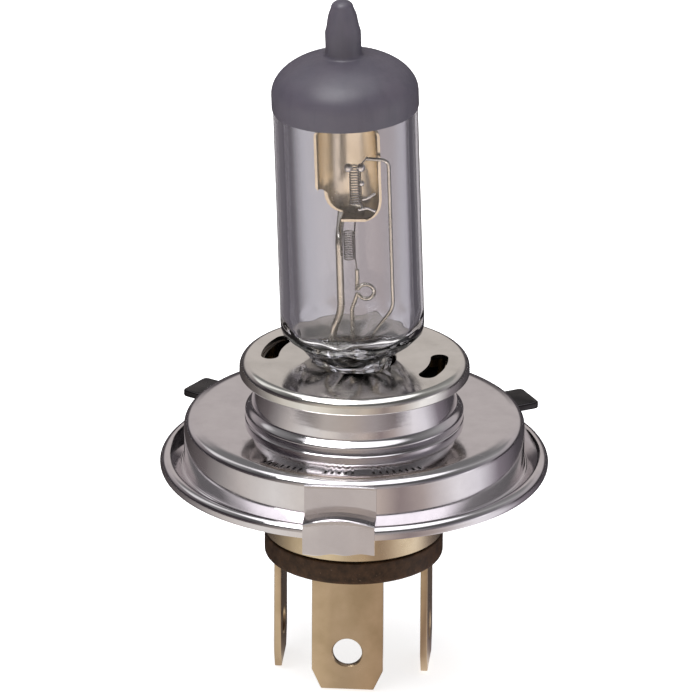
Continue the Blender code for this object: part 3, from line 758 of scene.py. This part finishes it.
def kidney(angle, head_top):
    """Cutter for one curved slot with round ends, centred on angle."""
    half_span, half_width = SLOT_SPAN / 2, SLOT_WIDTH / 2
    end = math.degrees(half_width / SLOT_PITCH_RADIUS)
    start, stop = angle - half_span + end, angle + half_span - end
    centres = [(SLOT_PITCH_RADIUS * math.cos(math.radians(a)),
                SLOT_PITCH_RADIUS * math.sin(math.radians(a))) for a in (start, stop)]
    points = arc((0, 0), SLOT_PITCH_RADIUS + half_width, start, stop, 16)
    points += arc(centres[1], half_width, stop, stop + 180, 12)[1:]
    points += arc((0, 0), SLOT_PITCH_RADIUS - half_width, stop, start, 16)[1:]
    points += arc(centres[0], half_width, start + 180, start + 360, 12)[1:-1]
    return prism(points, head_top - 2.0, head_top + 1.0)


def build_cap_head(metal, slot_shade_metal):
    top, bottom = top_bottom("cap_head")
    radius, rim_round = outer_radius("cap_head"), 0.15
    edge = (radius - HEAD_EDGE_ROUND, top - HEAD_EDGE_ROUND)
    outline = [(HEAD_HOLE_RADIUS + 0.1, top), (radius - HEAD_EDGE_ROUND - 0.8, top)]
    outline += arc(edge, HEAD_EDGE_ROUND, 90, 0, 14)
    outline += arc((radius - rim_round, bottom + rim_round), rim_round, 0, -90, 3)
    outline += [(radius - HEAD_SHEET, bottom)]
    outline += arc(edge, HEAD_EDGE_ROUND - HEAD_SHEET, 0, 90, 4)
    outline += [(HEAD_HOLE_RADIUS, top - HEAD_SHEET), (HEAD_HOLE_RADIUS, top - 0.1)]
    head = mesh_object("head_shell", lathe(outline, HEAD_STEPS), metal)
    for angle in SLOT_ANGLES:
        # The cutter's dark finish passes to the slot walls: painted shade inside the slots.
        carve(head, mesh_object("slot_cutter", kidney(angle, top), slot_shade_metal))
    settle(head, "plated_steel", "cap_head")


def build_neck_sleeve(metal):
    top, bottom = top_bottom("neck_sleeve")
    outline = [(NECK_RADIUS, top), (NECK_RADIUS, bottom), (NECK_RADIUS - NECK_WALL, bottom),
               (NECK_RADIUS - NECK_WALL, top)]
    settle(mesh_object("neck_shell", lathe(outline, HEAD_STEPS), metal), "plated_steel", "neck_sleeve")


def build_terminal_cup(metal):
    top, bottom = top_bottom("terminal_cup")
    radius = outer_radius("terminal_cup")
    outline = [(radius, top), (radius, bottom + 0.15), (radius - 0.12, bottom), (radius - CUP_WALL, bottom),
               (radius - CUP_WALL, top)]
    settle(mesh_object("cup_shell", lathe(outline, CUP_STEPS), metal), "plated_brass", "terminal_cup")


def blade_outline(grow):
    half, tip, tang = BLADE_WIDTH / 2 + grow, BLADE_TIP_WIDTH / 2, TANG_WIDTH / 2 + grow
    neck_z = PLATE_TOP_Z - 0.4 + grow
    right = [(tip, BLADE_TIP_Z), (half, BLADE_TIP_Z + BLADE_CHAMFER_HEIGHT), (half, neck_z),
             (tang, neck_z), (tang, TANG_TOP_Z + grow)]
    return right + [(-x, z) for x, z in reversed(right)]


def blade_blank(grow=0.0):
    """A terminal before its hole is made, or with grow the cutter for its slot in the insulator."""
    near, far = BLADE_OFFSET - BLADE_THICKNESS / 2 - grow, BLADE_OFFSET + BLADE_THICKNESS / 2 + grow
    return prism(blade_outline(grow), near, far, "X")


def build_blade(side, angle, metal):
    """A flat terminal whose locking hole has eased edges on both faces."""
    blade = mesh_object("terminal_" + side, soften(blade_blank(), 0.10, 30), metal)
    radius, z, steps = BLADE_HOLE_DIAMETER / 2, BLADE_TIP_Z + BLADE_HOLE_HEIGHT, 56
    drill = []
    for depth, widen in ((-0.7, 0.30), (-0.30, 0.0), (0.28, 0.0), (0.40, 0.12), (0.7, 0.55)):
        drill.append([(BLADE_OFFSET + depth, y, z + up) for y, up, _ in circle(radius + widen, 0.0, steps)])
    carve(blade, mesh_object("drill", skin(bmesh.new(), drill, caps=True), metal))
    blade.data.transform(Matrix.Rotation(math.radians(angle), 4, "Z"))
    settle(blade, "plated_brass", "blade_" + side)


def build_insulator(finish):
    """The disc with its spigot, a shallow recess underneath and a slot for each terminal."""
    radius, bottom = outer_radius("insulator_plate"), top_bottom("insulator_plate")[1]
    top_round, bottom_round, recess_radius, recess_depth, slot_gap = 0.2, 0.5, 4.0, 0.5, 0.08
    outline = [(0.0, SPIGOT_TOP_Z), (SPIGOT_RADIUS, SPIGOT_TOP_Z), (SPIGOT_RADIUS, PLATE_TOP_Z)]
    outline += arc((radius - top_round, PLATE_TOP_Z - top_round), top_round, 90, 0, 4)
    outline += arc((radius - bottom_round, bottom + bottom_round), bottom_round, 0, -90, 8)
    outline += [(recess_radius + 0.2, bottom), (recess_radius, bottom + recess_depth),
                (0.0, bottom + recess_depth)]
    plate = mesh_object("insulator_disc", lathe(outline, PLATE_STEPS), finish)
    for angle in BLADE_ANGLES.values():
        carve(plate, mesh_object("slot", spin_about_z(blade_blank(slot_gap), angle), finish))
    settle(plate, "phenolic", "insulator_plate")


# ---------------------------------------------------------------- glass capsule

def capsule_lean():
    pivot = Matrix.Translation((0.0, 0.0, CAPSULE_PIVOT_Z * MM))
    return pivot @ Matrix.Rotation(-math.radians(CAPSULE_LEAN), 4, "Y") @ pivot.inverted()


LEAN = capsule_lean()


def crown_outline(offset=0.0):
    """Dome, flared foot of the stem, stem, uneven shoulder and sealed tip, all moved out by offset."""
    dome_steps, foot_steps, shoulder_steps, tip_steps = 26, 5, 8, 10
    dome_end = math.degrees(math.acos((STEM_RADIUS + STEM_FOOT_FLARE) / GLASS_RADIUS))
    outline = []
    for i in range(dome_steps + 1):
        angle = math.radians(dome_end * i / dome_steps)
        r, z = GLASS_RADIUS * math.cos(angle), DOME_BASE_Z + DOME_HEIGHT * math.sin(angle)
        normal = Vector((math.cos(angle) / GLASS_RADIUS, math.sin(angle) / DOME_HEIGHT)).normalized()
        outline.append((r + offset * normal.x, z + offset * normal.y))
    foot_r, foot_z = outline[-1]
    for i in range(1, foot_steps + 1):
        t = i / foot_steps
        outline.append((foot_r + (STEM_RADIUS + offset - foot_r) * math.sin(t * math.pi / 2),
                        foot_z + STEM_FOOT_HEIGHT * t ** 2))
    outline.append((STEM_RADIUS + offset, STEM_TOP_Z - 0.5))
    for i in range(shoulder_steps + 1):
        t = i / shoulder_steps
        swell = 0.06 * math.sin(math.pi * t) - 0.05 * math.sin(math.pi * 2 * t)
        outline.append((STEM_RADIUS + (NUB_RADIUS - STEM_RADIUS) * t + swell + offset,
                        STEM_TOP_Z + (NUB_END_Z - STEM_TOP_Z) * t))
    for i in range(1, tip_steps + 1):
        angle = math.radians(86 * i / tip_steps)
        outline.append(((NUB_RADIUS + offset) * math.cos(angle),
                        NUB_END_Z + (TIP_Z - NUB_END_Z + offset) * math.sin(angle)))
    return outline


def lumpy(points, amount, phase, lift=0.0):
    """Push a ring of points in and out, as flame-worked glass is."""
    moved = []
    for x, y, z in points:
        a = math.atan2(y, x)
        wave = (0.5 * math.sin(4 * a + phase) + 0.35 * math.sin(7 * a - 1.7 * phase)
                + 0.25 * math.sin(11 * a + 2.3 * phase))
        moved.append((x * (1 + amount * wave), y * (1 + amount * wave), z + lift * wave))
    return moved


def glass_outside():
    """Rings of the pinch, the lumpy funnel above it, the tube and the crown."""
    rings = [superellipse(PINCH_HALF_WIDTH, PINCH_HALF_DEPTH, 5.0, z) for z in (PINCH_BOTTOM_Z, 5.4)]
    funnel = [(4.2, 6.5), (4.3, 7.0), (4.75, 7.5), (5.2, 8.0), (5.65, 8.5), (6.15, 9.0), (6.75, 9.5),
              (7.35, 10.0), (7.8, 10.45), (8.0, 10.9)]
    funnel_top_z, fade_height, flattening = 11.0, 1.6, 0.94
    for r, z in funnel:
        amount = 0.055 * min(1.0, (funnel_top_z - z) / fade_height)
        depth = r * flattening if z < 8 else r
        rings.append(lumpy(superellipse(r, depth, 2.0, z), amount, 0.9 * z))
    rings += [circle(GLASS_RADIUS, z) for z in (11.6, 16.0, 24.0, 32.0)]
    return rings + [circle(r, z) for r, z in crown_outline()]


def glass_inside():
    """Rings of the cavity: a lumpy floor, the bore and the inside of the dome."""
    bore, floor_steps, dome_steps = GLASS_RADIUS - GLASS_WALL, 16, 24
    rings = []
    for i in range(floor_steps + 1):
        t = i / floor_steps
        blend = math.sin(t * math.pi / 2)
        floor = superellipse(0.3 + (bore - 0.3) * blend, 0.25 + (bore - 0.25) * blend, 2.0,
                             CAVITY_BOTTOM_Z - 0.2 + 3.7 * t ** 1.5)
        fade = math.sin(math.pi * min(1.0, t * 1.02))
        rings.append(lumpy(floor, 0.10 * fade, 1.3 + 3.1 * t, 0.40 * fade))
    rings += [circle(bore, z) for z in (13.0, 16.0, 24.0, 32.0)]
    for i in range(dome_steps + 1):
        angle = math.radians(88 * i / dome_steps)
        rings.append(circle(bore * math.cos(angle),
                            DOME_BASE_Z - 0.2 + (DOME_HEIGHT - 0.9) * math.sin(angle)))
    return rings


def build_glass(finish):
    outer = skin(bmesh.new(), glass_outside(), caps=True)
    bmesh.ops.recalc_face_normals(outer, faces=outer.faces)
    inner = skin(bmesh.new(), glass_inside(), caps=True)
    bmesh.ops.recalc_face_normals(inner, faces=inner.faces)
    bmesh.ops.reverse_faces(inner, faces=inner.faces)
    piece = mesh_object("quartz_tube", merge(outer, inner), finish, CAPSULE_SHARP_ANGLE, False, LEAN)
    settle(piece, "quartz_glass", "glass_envelope")


def build_coating(finish):
    """A thin skin over the crown, thinned at its lower edge."""
    inner = [(GLASS_RADIUS + COATING_GAP, COATING_EDGE_Z)] + crown_outline(COATING_GAP)
    outer = [(GLASS_RADIUS + COATING_GAP + COATING_THICKNESS * 0.3, COATING_EDGE_Z),
             (GLASS_RADIUS + COATING_GAP + COATING_THICKNESS, COATING_EDGE_Z + 0.25)]
    outer += crown_outline(COATING_GAP + COATING_THICKNESS)
    outline = [(0.0, TIP_Z + COATING_GAP)] + list(reversed(inner)) + outer
    outline += [(0.0, TIP_Z + COATING_GAP + COATING_THICKNESS)]
    piece = mesh_object("tip_coating", lathe(outline, CAPSULE_STEPS), finish, COATING_SHARP_ANGLE, True, LEAN)
    settle(piece, "opaque_coating", "blackout_coating")


def build_shield(metal):
    """A half-round trough with a floor, and a corner cut away low on its left."""
    centre_y = 0.2
    rings = []
    levels = [(0.0, 0.42), (0.15, 0.58), (0.5, 0.74), (0.9, 0.85), (1.4, 0.93), (2.0, 0.98), (2.6, 1.0)]
    levels = [(SHIELD_BOTTOM_Z + z, scale) for z, scale in levels]
    levels += [(SHIELD_TOP_Z - 0.5, 1.0), (SHIELD_TOP_Z - 0.2, 0.99), (SHIELD_TOP_Z, 0.95)]
    for z, scale in levels:
        outer = arc((0.0, centre_y), SHIELD_RADIUS * scale, 0, 180, 48)
        inner = arc((0.0, centre_y), SHIELD_RADIUS * scale - SHIELD_SHEET, 180, 0, 48)
        rings.append([(x, y, z) for x, y in outer + inner])
    shield = mesh_object("shield_trough", skin(bmesh.new(), rings, caps=True), metal)
    floor = prism(arc((0.0, centre_y), SHIELD_RADIUS * 0.5, 0, 180, 32), SHIELD_BOTTOM_Z,
                  SHIELD_BOTTOM_Z + SHIELD_SHEET)
    carve(shield, mesh_object("shield_floor", floor, metal), "UNION")
    corner = [(-SHIELD_RADIUS - 1, SHIELD_CUT_TOP_Z + 1.2), (-SHIELD_RADIUS - 1, SHIELD_BOTTOM_Z - 1),
              (SHIELD_CUT_X, SHIELD_BOTTOM_Z - 1), (SHIELD_CUT_X, SHIELD_BOTTOM_Z + 0.4)]
    carve(shield, mesh_object("shield_corner", prism(corner, -1.0, 2.4, "Y"), metal))
    shield.data.transform(LEAN)
    settle(shield, "molybdenum", "low_beam_shield")


def wire_part(name, bm, finish, *nodes, slot="molybdenum"):
    """A wire part of the capsule, leaned with it."""
    settle(mesh_object(name, bm, finish, CAPSULE_SHARP_ANGLE, True, LEAN), slot, *nodes)


def coil_points(x, y, low, high, turns, tail_low, tail_high):
    per_turn = 14
    count = turns * per_turn
    helix = []
    for i in range(count + 1):
        angle = math.tau * i / per_turn
        helix.append((x + COIL_RADIUS * math.cos(angle), y + COIL_RADIUS * math.sin(angle),
                      low + (high - low) * i / count))
    return [tail_low] + helix + [tail_high]


def build_filaments(metal, clamp):
    """The two coils, and the weld beads and bent straps that hold the upper one."""
    low = coil_points(0.9, -0.9, 26.0, 30.6, 15, (1.6, -1.25, 25.4), (2.15, -0.95, 31.4))
    wire_part("low_beam_coil", tube(low, COIL_WIRE_RADIUS, 8), metal, "low_beam_filament", slot="tungsten")
    high = coil_points(0.0, -0.6, 19.2, 22.6, 12, (0.75, -0.6, 17.85), (0.62, 0.5, 23.45))
    wire_part("high_beam_coil", tube(high, COIL_WIRE_RADIUS, 8), metal, "high_beam_filament", slot="tungsten")
    parts = [ball((0.25, -1.70, 30.60), 0.50), ball((1.65, -1.65, 30.60), 0.50),
             ball((1.65, -1.55, 28.7), 0.34)]
    for route in ([(1.7, -1.4, 26.7), (2.3, -1.5, 26.9), (3.1, -1.3, 27.4)],
                  [(1.2, -1.3, 25.4), (2.2, -1.4, 25.7), (3.0, -1.2, 25.2)]):
        parts.append(tube(rounded_path(route, 0.3), 0.16, 10))
    wire_part("weld_beads", merge(*parts), clamp)


def support_loop(x, y, z, radius):
    """An open loop seen from the front, its ends set apart in depth."""
    start, sweep, depth, steps = 200, 320, 0.9, 40
    points = []
    for i in range(steps + 1):
        angle = math.radians(start + sweep * i / steps)
        points.append((x + radius * math.cos(angle), y + depth * (0.5 - i / steps),
                       z + radius * math.sin(angle)))
    return points


def build_leads(metal):
    foot_z = FOIL_TOP_Z + 0.15
    common = [(-LEAD_SPACING, 0, foot_z), (-LEAD_SPACING, 0, 10.4), (-1.25, 0.3, 12.6),
              (-1.25, 0.3, 21.4), (-1.25, 4.7, 23.2), (-1.25, 4.7, 30.0)]
    wire_part("lead_common", tube(rounded_path(common, 1.2), COMMON_LEAD_RADIUS, 20), metal, "common_lead")
    high = [(0, 0, foot_z), (0, 0, 13.0)] + support_loop(1.6, -0.5, 15.3, 0.95)
    high += [(0.75, -0.45, 17.0), (0.75, -0.6, 18.0)]
    wire_part("lead_high", tube(high, LEAD_RADIUS * 0.8, 16), metal, "high_beam_lead")
    low = [(LEAD_SPACING, 0, foot_z), (LEAD_SPACING, 0, 10.2), (4.6, -0.2, 13.2), (4.6, -0.2, 30.9),
           (2.1, -0.95, 31.4)]
    wire_part("lead_low", tube(rounded_path(low, 0.9), LEAD_RADIUS * 0.7, 16), metal, "low_beam_lead")


def finish_cad_nodes(clip_painted_shade, wire_metal):
    """The hidden nodes keep their CAD shape and take two of the finishes."""
    for name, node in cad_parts.items():
        if name.startswith(("foil_", "outer_lead_")):
            metal = wire_metal
        elif name == "pinch_holder":
            # The pinch holder is painted near black: painted shade under the cap.
            metal = clip_painted_shade
        else:
            continue
        node.data.materials.clear()
        node.data.materials.append(metal)


# ---------------------------------------------------------------- build

make_camera()
make_floor()
make_world()
make_lamp("overhead_box", (-0.25, -0.35, 1.0), (0, 0, 0.01), 0.7, 7.0)
bpy.context.scene.view_settings.view_transform = "Standard"

ring_steel = plated_metal("ring_nickel", (0.75, 0.72, 0.74), (0.68, 0.65, 0.67), 0.07, 0.17, 1.0)
# Near-black steel: painted shade on the pinch holder; the side lugs take the same dark colour.
dark_steel_clip_shade = plated_metal("dark_steel_clip_painted_shade", (0.045, 0.042, 0.045), (0.025, 0.024, 0.025), 0.25, 0.4, 14.0)
# Dark floors of the stamped strokes: painted shade in the recesses.
stamped = plated_metal("stroke_painted_shade", (0.14, 0.13, 0.13), (0.08, 0.07, 0.07), 0.35, 0.5, 2.0)
head_steel = plated_metal("head_nickel", (0.84, 0.82, 0.78), (0.74, 0.72, 0.68), 0.07, 0.18, 3.0)
# Near-black slot walls: painted shade inside the cap's slots.
slot_shade_finish = plated_metal("slot_painted_shade", (0.08, 0.075, 0.07), (0.04, 0.038, 0.035), 0.3, 0.45, 4.0)
neck_steel = plated_metal("neck_nickel", (0.82, 0.75, 0.65), (0.72, 0.64, 0.53), 0.12, 0.24, 5.0)
cup_brass = plated_metal("cup_brass", (0.72, 0.60, 0.42), (0.60, 0.47, 0.30), 0.22, 0.40, 6.0)
blade_brass = plated_metal("blade_brass", (0.60, 0.46, 0.31), (0.50, 0.38, 0.24), 0.26, 0.42, 7.0, "upright")
phenolic = phenolic_finish("brown_phenolic", 8.0)
quartz = glass_finish("grey_quartz", (0.76, 0.755, 0.78), 9.0)
lacquer = coating_finish("tip_lacquer", 10.0)
moly = plated_metal("drawn_molybdenum", (0.76, 0.73, 0.66), (0.60, 0.57, 0.50), 0.18, 0.34, 11.0,
                    "upright", 0.08)
shield_moly = plated_metal("shield_molybdenum", (0.84, 0.77, 0.64), (0.72, 0.64, 0.50), 0.16, 0.30, 12.0,
                           "upright", 0.08)
bead_metal = plated_metal("bright_beads", (0.97, 0.96, 0.95), (0.88, 0.87, 0.86), 0.22, 0.32, 15.0,
                          "plain", 0.0)
tungsten = plated_metal("drawn_tungsten", (0.58, 0.57, 0.57), (0.42, 0.41, 0.42), 0.25, 0.40, 13.0,
                        "plain", 0.08)

build_reference_ring(ring_steel, stamped, dark_steel_clip_shade)
build_cap_head(head_steel, slot_shade_finish)
build_neck_sleeve(neck_steel)
build_terminal_cup(cup_brass)
build_insulator(phenolic)
for side, angle in BLADE_ANGLES.items():
    build_blade(side, angle, blade_brass)
build_glass(quartz)
build_coating(lacquer)
build_shield(shield_moly)
build_filaments(tungsten, bead_metal)
build_leads(moly)
finish_cad_nodes(dark_steel_clip_shade, moly)
